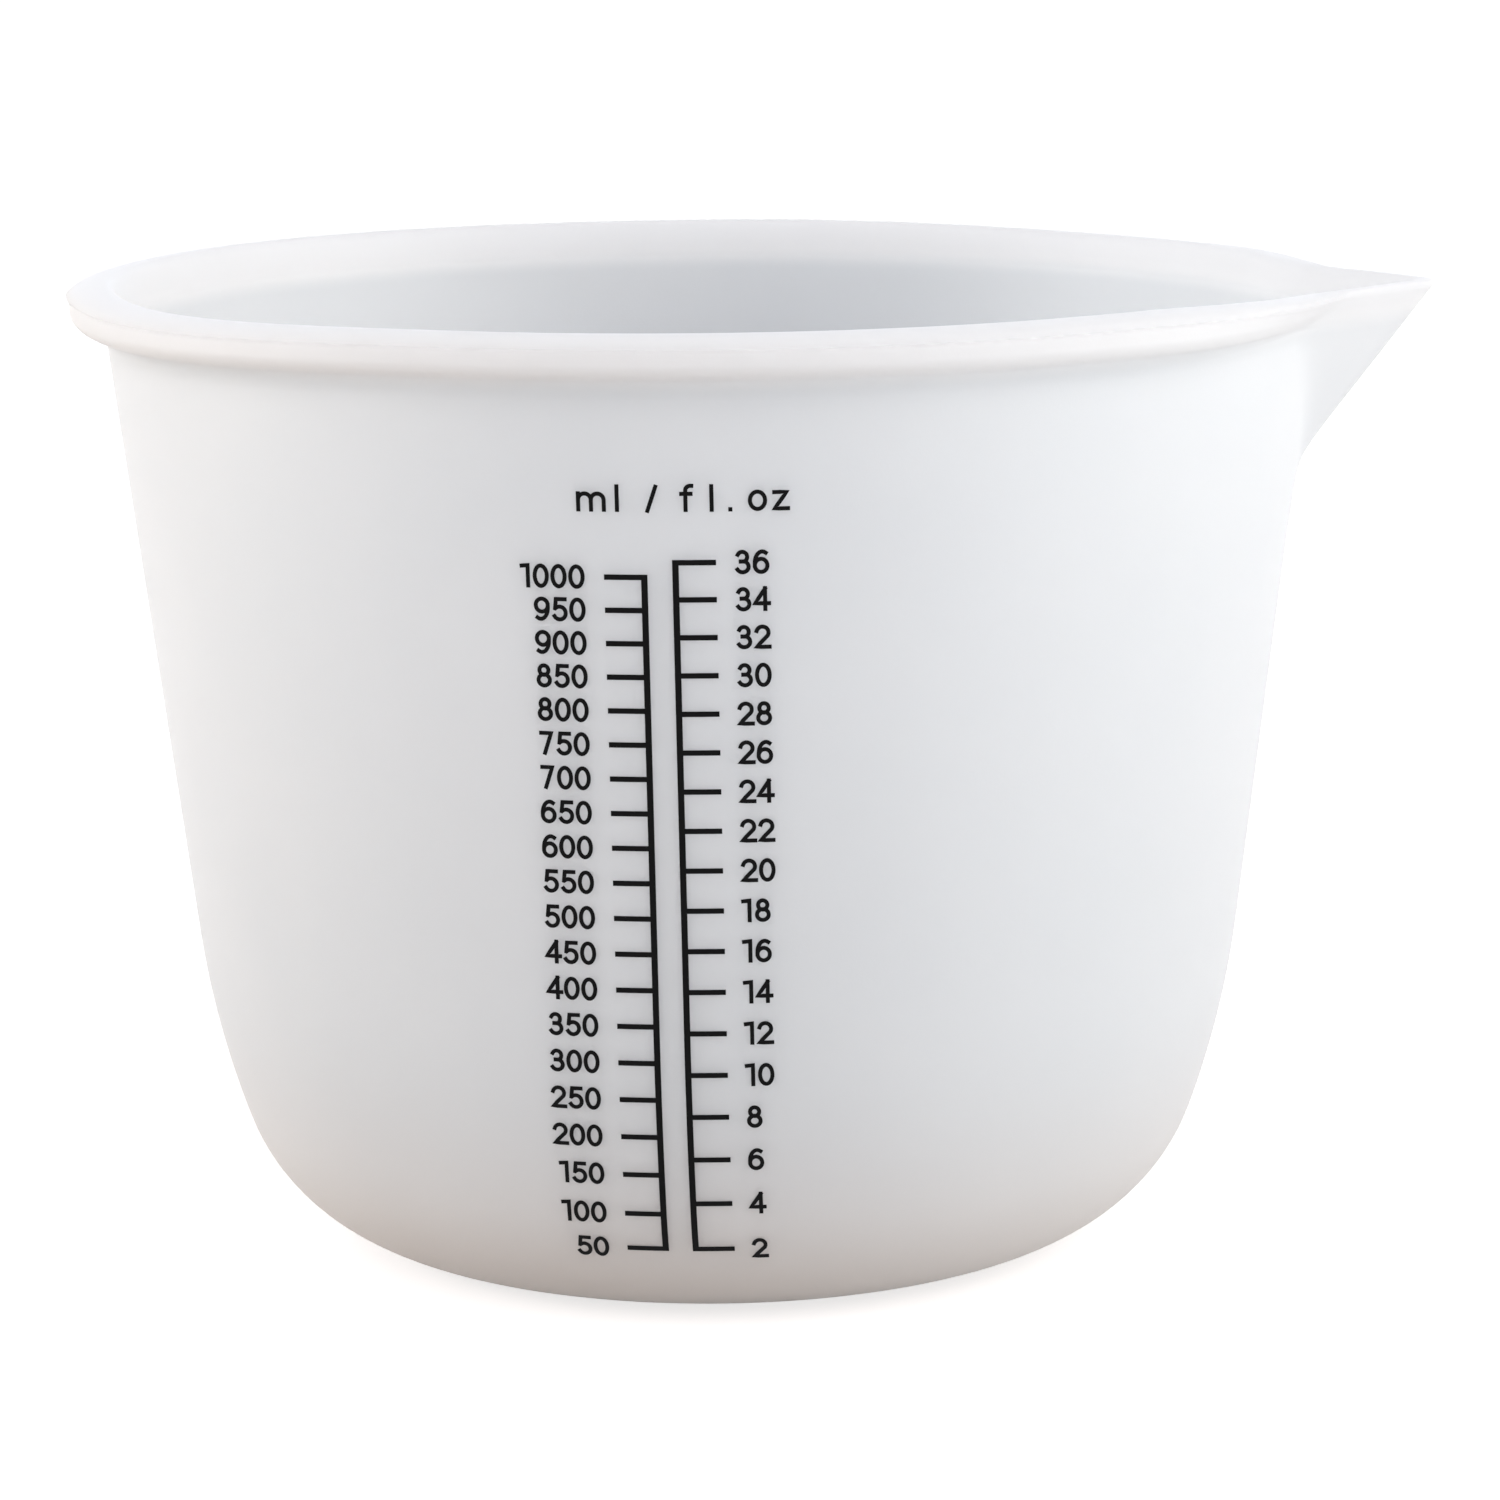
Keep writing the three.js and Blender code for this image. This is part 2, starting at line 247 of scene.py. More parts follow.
print("straight side of", len(side_heights()), "rings")


# %% [markdown]
# The rim is a thick roll outside the wall. From its foot it fillets out of the side, turns round a
# soft corner, carries the thin flash that the two halves of the mould leave on the widest place,
# and rounds over to a narrow level land. From there it slopes straight down to the inner side.

# %% The roll of the rim
FLASH_SHAPE = [(-1, 0), (-0.5, 0.16), (-0.2, 0.5), (-0.06, 1), (0.06, 1), (0.2, 0.5), (0.5, 0.14)]


def roll_outside():
    middle_radius = roll_radius - RIM_CORNER
    middle_height = HEIGHT - RIM_CORNER_DROP
    corner_foot = (
        middle_radius + RIM_CORNER * math.cos(RIM_CORNER_SWEEP),
        middle_height - RIM_CORNER * math.sin(RIM_CORNER_SWEEP),
    )
    reach = math.dist(corner_foot, (rim_foot_radius, RIM_FOOT))
    share = RIM_FOOT_FILLET / reach
    start = side_point(RIM_FOOT - RIM_FOOT_FILLET)[:2]
    bend = (rim_foot_radius, RIM_FOOT)
    end = [bend[k] + (corner_foot[k] - bend[k]) * share for k in (0, 1)]
    points = bent(start, bend, end, FILLET_RINGS)
    for angle in steps(-RIM_CORNER_SWEEP, 0, CORNER_RINGS):
        points.append([
            middle_radius + RIM_CORNER * math.cos(angle),
            middle_height + RIM_CORNER * math.sin(angle),
        ])
    for lift, out in FLASH_SHAPE:
        points.append([roll_radius + out * FLASH, parting_height + lift * FLASH_HALF_HEIGHT])
    return points


def roll_top():
    reach = roll_radius - crest_radius
    start = math.asin(FLASH_HALF_HEIGHT / PARTING_DROP)
    return [
        [crest_radius + reach * math.cos(angle), parting_height + PARTING_DROP * math.sin(angle)]
        for angle in [start] + steps(start, math.pi / 2, ROLL_RINGS)
    ]


def roll_inside():
    crest = (crest_radius, HEIGHT)
    bend = (crest_radius - INNER_ROLL_LAND, HEIGHT)
    reach = math.dist(bend, inner_foot)
    start, end = [
        [bend[k] + (inner_foot[k] - bend[k]) * share for k in (0, 1)]
        for share in (INNER_ROLL_ROUND * 2 / reach, 1 - INNER_ROLL_ROUND / reach)
    ]
    straight = [
        [start[k] + (end[k] - start[k]) * t for k in (0, 1)]
        for t in steps(0, 1, ROLL_RINGS - INNER_BEND_RINGS)
    ]
    return bent(crest, bend, start, INNER_BEND_RINGS) + straight + [list(inner_foot)]


print("roll of", len(roll_outside() + roll_top() + roll_inside()), "rings")


# %% [markdown]
# The rings run from the middle of the base up the outside, over the rim and down the inside to
# the middle of the floor. Each is radius, height, radius in the beak, height in the beak, and
# depth in the beak's wall from 0 outside to 1 inside. Below the rim the two places are the same;
# in the beak the roll is drawn out to a flat slope and a thin rounded lip.

# %% The rings of the section
def plain(points, depth):
    return [[p[0], p[1], p[0], p[1], depth] for p in points]


def faded(points, place):
    count = len(points) - 1
    return [[p[0], p[1], *place(i / count, p)] for i, p in enumerate(points)]


outer_side = (
    [heel_point(slope) for slope in [0] + steps(0, HEEL_SLOPE, HEEL_RINGS)]
    + [belly_point(slope) for slope in steps(HEEL_SLOPE, SIDE_SLOPE, BELLY_RINGS)]
    + [side_point(height) for height in side_heights()]
)
inner_side = [inner_point(point) for point in outer_side]
base_radii = [BASE_RADIUS * i / BASE_RINGS for i in range(BASE_RINGS)]
rings = (
    plain([(radius, 0) for radius in base_radii], 0)
    + plain(outer_side, 0)
    + faded(roll_outside(), lambda share, p: (
        rim_foot_radius + (roll_radius - rim_foot_radius) * share,
        RIM_FOOT + (tip_height - 2 * LIP_ROUND - RIM_FOOT) * share,
        0,
    ))
    + faded(roll_top(), lambda share, p: (
        roll_radius + (crest_radius - roll_radius) * share,
        tip_height - LIP_ROUND * (2 * share - 1) ** 4,
        LIP_EDGE_SHARE + (1 - 2 * LIP_EDGE_SHARE) * share,
    ))
    + faded(roll_inside(), lambda share, p: (
        p[0],
        tip_height - 2 * LIP_ROUND + (inner_foot[1] - tip_height + 2 * LIP_ROUND) * share,
        1,
    ))
    + plain(inner_side[::-1], 1)
    + plain([(radius, FLOOR) for radius in base_radii[::-1]], 1)
)
rings = np.array(rings)
print("section of", len(rings), "rings")


# %% [markdown]
# A lathe is the natural way to a round cup. A plane is merged to one vertex, the vertex is
# extruded along the section, and Spin turns the section once round. The doubled seam and the
# poles are then merged, and the normals are made to point outwards.

# %% Spin the section
TURN_STEPS = 300
SEAM_GAP = 0.002 * MM


def spin_section():
    bpy.ops.object.select_all(action="DESELECT")
    bpy.ops.mesh.primitive_plane_add(size=MM, location=(0, 0, 0))
    cup = name_new("silicone_cup")
    bpy.ops.object.mode_set(mode="EDIT")
    bpy.ops.mesh.merge(type="CENTER")
    for here, there in zip(rings[:-1], rings[1:]):
        step = (there[0] - here[0], 0, there[1] - here[1])
        bpy.ops.mesh.extrude_vertices_move(TRANSFORM_OT_translate={"value": step})
    bpy.ops.mesh.select_all(action="SELECT")
    bpy.ops.mesh.spin(steps=TURN_STEPS, angle=2 * math.pi, center=(0, 0, 0), axis=(0, 0, 1))
    bpy.ops.mesh.select_all(action="SELECT")
    bpy.ops.mesh.remove_doubles(threshold=SEAM_GAP)
    bpy.ops.mesh.normals_make_consistent(inside=False)
    bpy.ops.object.mode_set(mode="OBJECT")
    return cup


silicone_cup = spin_section()
print("spun", len(silicone_cup.data.vertices), "vertices")


# %% [markdown]
# Two shapes are blended by a share that runs smoothly from 0 to 1. The spin doesn't say which
# ring of the section a vertex came from, so the nearest ring is looked for, a few thousand
# vertices at a time.

# %% Blend shapes and find the ring of a vertex
VERTICES_AT_ONCE = 4000


def smooth_step(value, start, end):
    share = np.clip((value - start) / (end - start), 0, 1)
    return share * share * (3 - 2 * share)


def mix(a, b, share):
    return a + (b - a) * share


def rings_of(places):
    radius = np.hypot(places[:, 0], places[:, 1])
    order = np.empty(len(places), dtype=int)
    for start in range(0, len(places), VERTICES_AT_ONCE):
        part = slice(start, start + VERTICES_AT_ONCE)
        gap = np.hypot(radius[part, None] - rings[:, 0], places[part, 2, None] - rings[:, 1])
        order[part] = gap.argmin(axis=1)
    return order


rings_met = np.unique(rings_of(vertices_of(silicone_cup)))
print("vertices lie on", len(rings_met), "rings")


# %% [markdown]
# The beak could be sculpted with proportional editing, but its V has straight walls, so its
# shape is written as a formula: a point goes as far out as the larger of the round wall and the
# V, with a fillet where they are nearly equal. The turned vertices are first crowded towards the
# beak, where the shape is sharpest.

# %% Pull out the beak
BEAK_CROWDING = 0.5
LEAST_COSINE = 0.1


def pull_beak(places):
    ring = rings[rings_of(places)]
    even = np.arctan2(places[:, 1], places[:, 0])
    azimuth = even - BEAK_CROWDING * np.sin(even)
    away = np.abs(azimuth)
    full = np.where(azimuth < 0, ROLL_FULL_IN_FRONT, ROLL_FULL)
    fade = 1 - smooth_step(away, ROLL_GONE, full)
    follow = 1 - smooth_step(away, BEAK_FULL, BEAK_GONE)
    round_radius = mix(ring[:, 0], ring[:, 2], fade)
    height = mix(ring[:, 1], ring[:, 3], fade)
    cross_slope = 1 / math.tan(BEAK_HALF_ANGLE)
    wall_shift = BEAK_WALL * math.sqrt(1 + cross_slope ** 2 + keel_rise ** -2)
    keel = tip_radius - (tip_height - height) / keel_rise - ring[:, 4] * wall_shift
    sine = np.hypot(np.sin(azimuth), BEAK_TIP_SOFTNESS) - BEAK_TIP_SOFTNESS
    pulled = keel / np.maximum(np.cos(azimuth) + cross_slope * sine, LEAST_COSINE)
    pulled = (round_radius + pulled + np.hypot(round_radius - pulled, BEAK_BLEND)) / 2
    near = (follow > 0) & (height > keel_foot - BEAK_RING_ROOM) & (round_radius > BASE_RADIUS)
    radius = np.where(near, mix(round_radius, pulled, follow), round_radius)
    return np.column_stack([radius * np.cos(azimuth), radius * np.sin(azimuth), height])


move_vertices(silicone_cup, pull_beak(vertices_of(silicone_cup)))
print("beak reaches", round(vertices_of(silicone_cup)[:, 0].max() / MM, 1), "mm from the axis")


# %% [markdown]
# Silicone is soft, so the rim of a real cup is never quite flat. In the picture it hangs a
# little lower at the front left, at the back right and beside the beak. The sag is drawn as a
# smooth curve through a few heights round the rim, and fades out down the side.

# %% Let the rim sag
SAG_FADE = 24 * MM
SMOOTH_BELOW = math.radians(38)
RIM_SAG = [
    (-172, 0.15 * MM),
    (-146, 0.7 * MM),
    (-108, 0),
    (-52, 0),
    (-34, 0.15 * MM),
    (0, 0.35 * MM),
    (45, 1.05 * MM),
    (95, 0.35 * MM),
    (150, 0.05 * MM),
]


def rim_sag(azimuth):
    degrees = [point[0] for point in RIM_SAG]
    drops = [point[1] for point in RIM_SAG]
    wrapped = [degrees[-1] - 360] + degrees + [degrees[0] + 360]
    heights = [drops[-1]] + drops + [drops[0]]
    where = np.degrees(azimuth)
    where = np.where(where < wrapped[0], where + 360, where)
    left = np.clip(np.searchsorted(wrapped, where, side="right") - 1, 0, len(wrapped) - 2)
    low = np.array(wrapped)[left]
    high = np.array(wrapped)[left + 1]
    share = smooth_step(where, low, high)
    return mix(np.array(heights)[left], np.array(heights)[left + 1], share)


def let_sag(places):
    weight = smooth_step(places[:, 2], RIM_FOOT - SAG_FADE, RIM_FOOT)
    azimuth = np.arctan2(places[:, 1], places[:, 0])
    sagged = places.copy()
    sagged[:, 2] -= rim_sag(azimuth) * weight
    return sagged


move_vertices(silicone_cup, let_sag(vertices_of(silicone_cup)))
select_only(silicone_cup)
bpy.ops.object.shade_smooth_by_angle(angle=SMOOTH_BELOW)
print("cup of", len(silicone_cup.data.polygons), "faces")


# %% [markdown]
# The scales are one film of black ink on the outer side, in front. A print like this could be
# painted by the wall's material, but thin pieces keep their sharp edges at any distance. They are
# drawn flat, with X across the print, Y for the height and Z out of the wall, and are then bent
# onto the wall.

# %% Bend a flat print onto the wall
INK_LIFT = 0.02 * MM
INK_THICKNESS = 0.05 * MM
SPINE_PITCH = 3.4 * MM
PRINT_ASIDE = -0.16 * MM


def bend_onto_wall(thing):
    places = []
    for across, height, out in vertices_of(thing):
        radius, _, slope = outer_at(height)
        turn = (across + PRINT_ASIDE) / radius - math.pi / 2
        reach = radius + (INK_LIFT + out) * math.sin(slope)
        drop = (INK_LIFT + out) * math.cos(slope)
        places.append((reach * math.cos(turn), reach * math.sin(turn), height - drop))
    move_vertices(thing, places)


print("ink of", INK_THICKNESS / MM, "mm, spines", SPINE_PITCH / MM, "mm apart")


# %% [markdown]
# Each mark stands where the cup holds the volume that it names. The volume is added up from thin
# slices of the inside, and the height is read back from it. In the picture the marks half way up
# stand about half a millimetre lower than that, so the print dips there. The lowest millilitre
# mark shares the level of the lowest ounce mark, as it does in the picture.

# %% Levels of the marks
ML_PER_FLUID_OUNCE = 28.4131
MILLILITRE = 1000 * MM ** 3
ML_MARKS = list(range(50, 1001, 50))
OUNCE_MARKS = list(range(2, 37, 2))
VOLUME_SLICES = 400
PRINT_DIP = 0.55 * MM

slice_heights = np.linspace(FLOOR, HEIGHT, VOLUME_SLICES + 1)
inner_heights = np.maximum.accumulate([point[1] for point in inner_side])
slice_radii = np.interp(slice_heights, inner_heights, [point[0] for point in inner_side])
slice_areas = math.pi * slice_radii ** 2
slice_volumes = (slice_areas[1:] + slice_areas[:-1]) / 2 * np.diff(slice_heights) / MILLILITRE
volume_held = np.concatenate([[0], np.cumsum(slice_volumes)])


def level_of(millilitres):
    share = millilitres / ML_MARKS[-1]
    dip = PRINT_DIP * 4 * share * max(1 - share, 0)
    return float(np.interp(millilitres, volume_held, slice_heights)) - dip


ounce_levels = [level_of(ounces * ML_PER_FLUID_OUNCE) for ounces in OUNCE_MARKS]
ml_levels = [ounce_levels[0]] + [level_of(millilitres) for millilitres in ML_MARKS[1:]]
print("1000 ml stands at", round(ml_levels[-1] / MM, 1), "mm")
print("36 fluid ounces stand at", round(ounce_levels[-1] / MM, 1), "mm")


# %% [markdown]
# A scale is a comb, an upright spine with a tooth for each mark. Its rows end at the edges of the
# marks, and a few more rows between two marks let it follow the curve of the wall. Solidify gives
# the flat ink its thickness.

# %% Rows of a comb, and the thickness of the ink
SPINE_WIDTH = 0.7 * MM
MARK_LENGTH = 4.4 * MM
MARK_WIDTH = 0.6 * MM
ROWS_BETWEEN = 5
MARK_COLUMNS = 5


def comb_rows(levels):
    rows = []
    for level in levels:
        low = level - MARK_WIDTH / 2
        rows += steps(rows[-1], low, ROWS_BETWEEN) if rows else [low]
        rows.append(level + MARK_WIDTH / 2)
    return rows


def solid_ink(thing, thickness=INK_THICKNESS):
    select_only(thing)
    solidify = thing.modifiers.new("Ink", "SOLIDIFY")
    solidify.thickness = thickness
    solidify.offset = 1
    bpy.ops.object.modifier_apply(modifier=solidify.name)


print("a millilitre comb of", len(comb_rows(ml_levels)), "rows")


# %% [markdown]
# Each comb starts as a grid of even cells, whose vertices are moved to the comb's own rows and
# columns. The cells between the marks are then deleted, which is simpler than joining 38
# separate marks to their spines.

# %% Combs of marks
def comb(name, levels, spine, direction):
    rows = comb_rows(levels)
    edges = [-SPINE_WIDTH / 2, SPINE_WIDTH / 2] + steps(SPINE_WIDTH / 2, MARK_LENGTH, MARK_COLUMNS)
    columns = sorted(spine + direction * edge for edge in edges)
    bpy.ops.object.select_all(action="DESELECT")
    bpy.ops.mesh.primitive_grid_add(
        x_subdivisions=len(columns) - 1, y_subdivisions=len(rows) - 1, size=2, location=(0, 0, 0)
    )
    thing = name_new(name)
    flat = vertices_of(thing)
    column = np.rint((flat[:, 0] + 1) / 2 * (len(columns) - 1)).astype(int)
    row = np.rint((flat[:, 1] + 1) / 2 * (len(rows) - 1)).astype(int)
    places = [np.array(columns)[column], np.array(rows)[row], np.zeros(len(flat))]
    move_vertices(thing, np.column_stack(places))
    bpy.ops.object.mode_set(mode="EDIT")
    bpy.ops.mesh.select_mode(type="FACE")
    bpy.ops.mesh.select_all(action="DESELECT")
    bpy.ops.object.mode_set(mode="OBJECT")
    for face in thing.data.polygons:
        on_spine = abs(face.center.x - spine) < SPINE_WIDTH / 2
        on_mark = min(abs(face.center.y - level) for level in levels) < MARK_WIDTH / 4
        face.select = not (on_spine or on_mark)
    bpy.ops.object.mode_set(mode="EDIT")
    bpy.ops.mesh.delete(type="FACE")
    bpy.ops.mesh.select_mode(type="VERT")
    bpy.ops.object.mode_set(mode="OBJECT")
    solid_ink(thing)
    bend_onto_wall(thing)
    print(name, "has", len(levels), "marks and", len(thing.data.polygons), "faces")
    return thing


ml_spine = -SPINE_PITCH / 2
ounce_spine = SPINE_PITCH / 2
ml_marks = comb("ml_marks", ml_levels, ml_spine, -1)
ounce_marks = comb("ounce_marks", ounce_levels, ounce_spine, 1)


# %% [markdown]
# The numbers are plain strokes of one width. A font would bring its own shapes, so each figure is
# drawn as a few centre lines, written below as fractions of its height. A line is a list of
# points; an arc is its centre, its two radii and the angles where it starts and ends.

# %% Centre lines of the figures and letters
def arc(x, y, across, up, start, end, pitch=12):
    count = max(2, round(abs(end - start) / pitch))
    turns = [math.radians(start + (end - start) * i / count) for i in range(count + 1)]
    return [(x + across * math.cos(turn), y + up * math.sin(turn)) for turn in turns]


def half_turned(strokes):
    return [[(-x, 1 - y) for x, y in stroke] for stroke in strokes]


SIX = [arc(0, 0.32, 0.3, 0.32, 0, 360), arc(0.06, 0.42, 0.36, 0.58, 62, 180) + [(-0.3, 0.32)]]
FIGURES = {
    "0": [arc(0, 0.5, 0.304, 0.5, 0, 360)],
    "1": [[(-0.3, 0.97), (0, 1), (0, 0)]],
    "2": [arc(0, 0.71, 0.29, 0.29, 165, -35) + [(-0.3, 0), (0.33, 0)]],
    "3": [
        arc(-0.01, 0.755, 0.235, 0.245, 155, -70) + [(-0.07, 0.53)],
        [(-0.08, 0.525)] + arc(0, 0.27, 0.285, 0.27, 75, -150),
    ],
    "4": [[(0.34, 0.28), (-0.33, 0.28), (0.16, 1)], [(0.16, 1.02), (0.16, 0)]],
    "5": [[(0.27, 1), (-0.17, 1), (-0.22, 0.54)] + arc(0, 0.315, 0.3, 0.315, 135, -150)],
    "6": SIX,
    "7": [[(-0.25, 1), (0.25, 1), (-0.08, 0)]],
    "8": [arc(0, 0.765, 0.225, 0.235, 0, 360), arc(0, 0.275, 0.285, 0.275, 0, 360)],
    "9": half_turned(SIX),
}
LETTERS = {
    "m": [
        [(-0.62, 0), (-0.62, 0.78)],
        [(-0.62, 0.45)] + arc(-0.31, 0.47, 0.31, 0.31, 170, 0) + [(0, 0)],
        [(0, 0.45)] + arc(0.31, 0.47, 0.31, 0.31, 170, 0) + [(0.62, 0)],
    ],
    "l": [[(0, 0), (0, 1.14)]],
    "/": [[(-0.2, -0.04), (0.2, 1.13)]],
    "f": [[(-0.05, 0)] + arc(0.2, 0.95, 0.25, 0.22, 180, 80), [(-0.24, 0.78), (0.2, 0.78)]],
    ".": [[(0, 0), (0, 0.01)]],
    "o": [arc(0, 0.42, 0.36, 0.42, 0, 360)],
    "z": [[(-0.31, 0.8), (0.28, 0.8), (-0.31, 0), (0.33, 0)]],
}
print("centre lines for", "".join(FIGURES), "and", "".join(LETTERS))


# %% [markdown]
# A stroke has one width along its centre line, with mitred corners. Its long stretches are split,
# so that it can follow the wall, and each point of the line gets an offset to the stroke's edge.

# %% Edges of a stroke
FIGURE_RISE = 2.27 * MM
STROKE = 0.45 * MM
STROKE_SPLIT = 0.3
MITRE_LIMIT = 1.6


def split_long(points):
    result = [points[0]]
    for start, end in zip(points[:-1], points[1:]):
        count = max(1, math.ceil(math.dist(start, end) / STROKE_SPLIT))
        result += zip(steps(start[0], end[0], count), steps(start[1], end[1], count))
    return result


def side_offsets(line, half, closed):
    ahead = np.diff(line, axis=0)
    ahead /= np.linalg.norm(ahead, axis=1)[:, None]
    after = np.vstack([ahead, ahead[:1] if closed else ahead[-1:]])
    before = np.vstack([ahead[-1:] if closed else ahead[:1], ahead])
    middle = after + before
    middle /= np.linalg.norm(middle, axis=1)[:, None]
    cosine = np.maximum((middle * after).sum(axis=1), LEAST_COSINE)
    stretch = np.minimum(1 / cosine, MITRE_LIMIT)
    return np.column_stack([-middle[:, 1], middle[:, 0]]) * (half * stretch)[:, None]


print("the seven is drawn with", len(split_long(FIGURES["7"][0])), "points")


# %% [markdown]
# A stroke is a narrow grid laid along its centre line, with square ends. The strokes of one figure
# are thickened and united with a Boolean, so that the figure is one clean body. Figures are shaped
# a metre high, because a Boolean is surest at that size.

# %% Bodies of the figures and letters
CLOSED_WITHIN = 0.001


def stroke_body(points, width):
    closed = math.dist(points[0], points[-1]) < CLOSED_WITHIN
    line = np.array(split_long(points))
    if not closed:
        for end, inner in ((0, 1), (-1, -2)):
            outward = line[end] - line[inner]
            line[end] += outward / np.linalg.norm(outward) * width / 2
    offsets = side_offsets(line, width / 2, closed)
    bpy.ops.object.select_all(action="DESELECT")
    bpy.ops.mesh.primitive_grid_add(
        x_subdivisions=len(line) - 1, y_subdivisions=1, size=2, location=(0, 0, 0)
    )
    body = bpy.context.object
    flat = vertices_of(body)
    index = np.rint((flat[:, 0] + 1) / 2 * (len(line) - 1)).astype(int)
    side = np.sign(flat[:, 1])[:, None]
    placed = line[index] + offsets[index] * side
    move_vertices(body, np.column_stack([placed, 0 * index]))
    if closed:
        bpy.ops.object.mode_set(mode="EDIT")
        bpy.ops.mesh.select_all(action="SELECT")
        bpy.ops.mesh.remove_doubles(threshold=CLOSED_WITHIN)
        bpy.ops.object.mode_set(mode="OBJECT")
    solid_ink(body, INK_THICKNESS / FIGURE_RISE)
    return body


def figure_body(name, strokes):
    bodies = [stroke_body(points, STROKE / FIGURE_RISE) for points in strokes]
    body = bodies[0]
    for other in bodies[1:]:
        select_only(body)
        union = body.modifiers.new("Union", "BOOLEAN")
        union.operation = "UNION"
        union.solver = "EXACT"
        union.object = other
        bpy.ops.object.modifier_apply(modifier=union.name)
        bpy.data.objects.remove(other)
    body.name = name
    return body


figure_bodies = {
    sign: figure_body("figure", strokes) for sign, strokes in {**FIGURES, **LETTERS}.items()
}
print("drawn figures and letters:", "".join(figure_bodies))


# %% [markdown]
# A number is set from copies of these figures, side by side and centred on its mark. Every figure
# takes the same room, except the one, which is narrow.

# %% Set a number
FIGURE_PITCH = 2 * MM
ONE_LEFT = 0.95 * MM
ONE_RIGHT = 0.465 * MM


def place_figure(sign, across, height):
    copy = figure_bodies[sign].copy()
    copy.data = figure_bodies[sign].data.copy()
    bpy.context.scene.collection.objects.link(copy)
    move_vertices(copy, vertices_of(copy) * FIGURE_RISE + (across, height, 0))
    return copy


def cell_of(sign):
    return (ONE_LEFT, ONE_RIGHT) if sign == "1" else (FIGURE_PITCH / 2, FIGURE_PITCH / 2)


def place_number(text, start, level):
    placed = []
    for sign in text:
        left, right = cell_of(sign)
        placed.append(place_figure(sign, start + left, level - FIGURE_RISE / 2))
        start += left + right
    return placed


def width_of(text):
    return sum(sum(cell_of(sign)) for sign in text)


print("1000 is", round(width_of("1000") / MM, 2), "mm wide")


# %% [markdown]
# The millilitres end beside their marks and the ounces start beside theirs. The letters of the
# line of units above them are placed one by one. What is set is joined and bent onto the wall, and
# the first bodies of the figures are then removed.

# %% Numbers and the line of units
ML_NUMBERS_END = 6.45 * MM
OUNCE_NUMBERS_START = 6.25 * MM
UNIT_BASELINE = 97.6 * MM
UNIT_LETTERS = [
    ("m", -7.3 * MM),
    ("l", -4.46 * MM),
    ("/", -0.71 * MM),
    ("f", 3.07 * MM),
    ("l", 5.76 * MM),
    (".", 7.76 * MM),
    ("o", 10.7 * MM),
    ("z", 13.23 * MM),
]


def join_print(name, things):
    bpy.ops.object.select_all(action="DESELECT")
    for thing in things:
        thing.select_set(True)
    bpy.context.view_layer.objects.active = things[0]
    bpy.ops.object.join()
    joined = name_new(name)
    bend_onto_wall(joined)
    print(name, "has", len(joined.data.polygons), "faces")
    return joined


ml_figures = []
for millilitres, level in zip(ML_MARKS, ml_levels):
    text = str(millilitres)
    ml_figures += place_number(text, ml_spine - ML_NUMBERS_END - width_of(text), level)
ounce_figures = []
for ounces, level in zip(OUNCE_MARKS, ounce_levels):
    ounce_figures += place_number(str(ounces), ounce_spine + OUNCE_NUMBERS_START, level)
unit_height = UNIT_BASELINE + STROKE / 2
unit_figures = [place_figure(sign, across, unit_height) for sign, across in UNIT_LETTERS]

ml_numbers = join_print("ml_numbers", ml_figures)
ounce_numbers = join_print("ounce_numbers", ounce_figures)
unit_line = join_print("unit_line", unit_figures)
for body in figure_bodies.values():
    bpy.data.objects.remove(body)


# %% [markdown]
# Materials are built from nodes. One helper adds a node, sets it and links its inputs, so that a
# material below reads as the list of what it is made of. Another tells the rays that look at a
# thing, straight or by reflection, from the rays that only carry light.

# %% Material helpers
def add_node(material, kind, settings=None, **links):
    tree = material.node_tree
    node = tree.nodes.new(kind)
    for setting, value in (settings or {}).items():
        setattr(node, setting, value)
    for socket, value in links.items():
        target = node.inputs[socket.replace("_", " ")]
        if isinstance(value, bpy.types.NodeSocket):
            tree.links.new(value, target)
        else:
            target.default_value = value
    return node


def new_material(name):
    material = bpy.data.materials.new(name)
    material.use_nodes = True
    material.node_tree.nodes.clear()
    return material


def finish_material(material, shader):
    output = add_node(material, "ShaderNodeOutputMaterial")
    material.node_tree.links.new(shader, output.inputs["Surface"])


def looking_rays(material):
    rays = add_node(material, "ShaderNodeLightPath")
    total = rays.outputs["Is Camera Ray"]
    for name in ("Is Glossy Ray", "Is Transmission Ray"):
        added = add_node(material, "ShaderNodeMath", {"operation": "ADD", "use_clamp": True})
        material.node_tree.links.new(total, added.inputs[0])
        material.node_tree.links.new(rays.outputs[name], added.inputs[1])
        total = added.outputs[0]
    return total


print("helpers for materials are ready")


# %% [markdown]
# Silicone rubber is clear by nature and turns milky when it is pigmented a little: light enters
# it, scatters some millimetres and comes out again, so shadows on it are soft. Subsurface
# scattering gives that. Glass with a volume inside would also do, but it would be slow and full
# of noise. The solid rim is painted whiter than the wall, a painted glow for its thicker silicone,
# and the foot is painted darker and warmer, a painted shade with warm light from the floor, so the
# colour is mixed by height.

# %% Colour of the moulded silicone
SILICONE_MILKY = "#e6e9eb"
SILICONE_CLOUDED = "#dfe3e6"
# Painted glow: the rim is painted whiter than the wall, for the light that its thicker silicone
# scatters.
RIM_PAINTED_GLOW = "#fafbfb"
# Painted shade: the foot is painted darker and warmer, for the shade under the heel and the warm
# light from the floor.
FOOT_PAINTED_SHADE = "#e0d9d4"
CLOUD_SIZE = 25 * MM
RIM_GLOW_FROM = RIM_FOOT - 1.5 * MM
RIM_GLOW_TO = RIM_FOOT + 1.5 * MM
FOOT_SHADE_FROM = 34 * MM
FOOT_SHADE_TO = 2 * MM

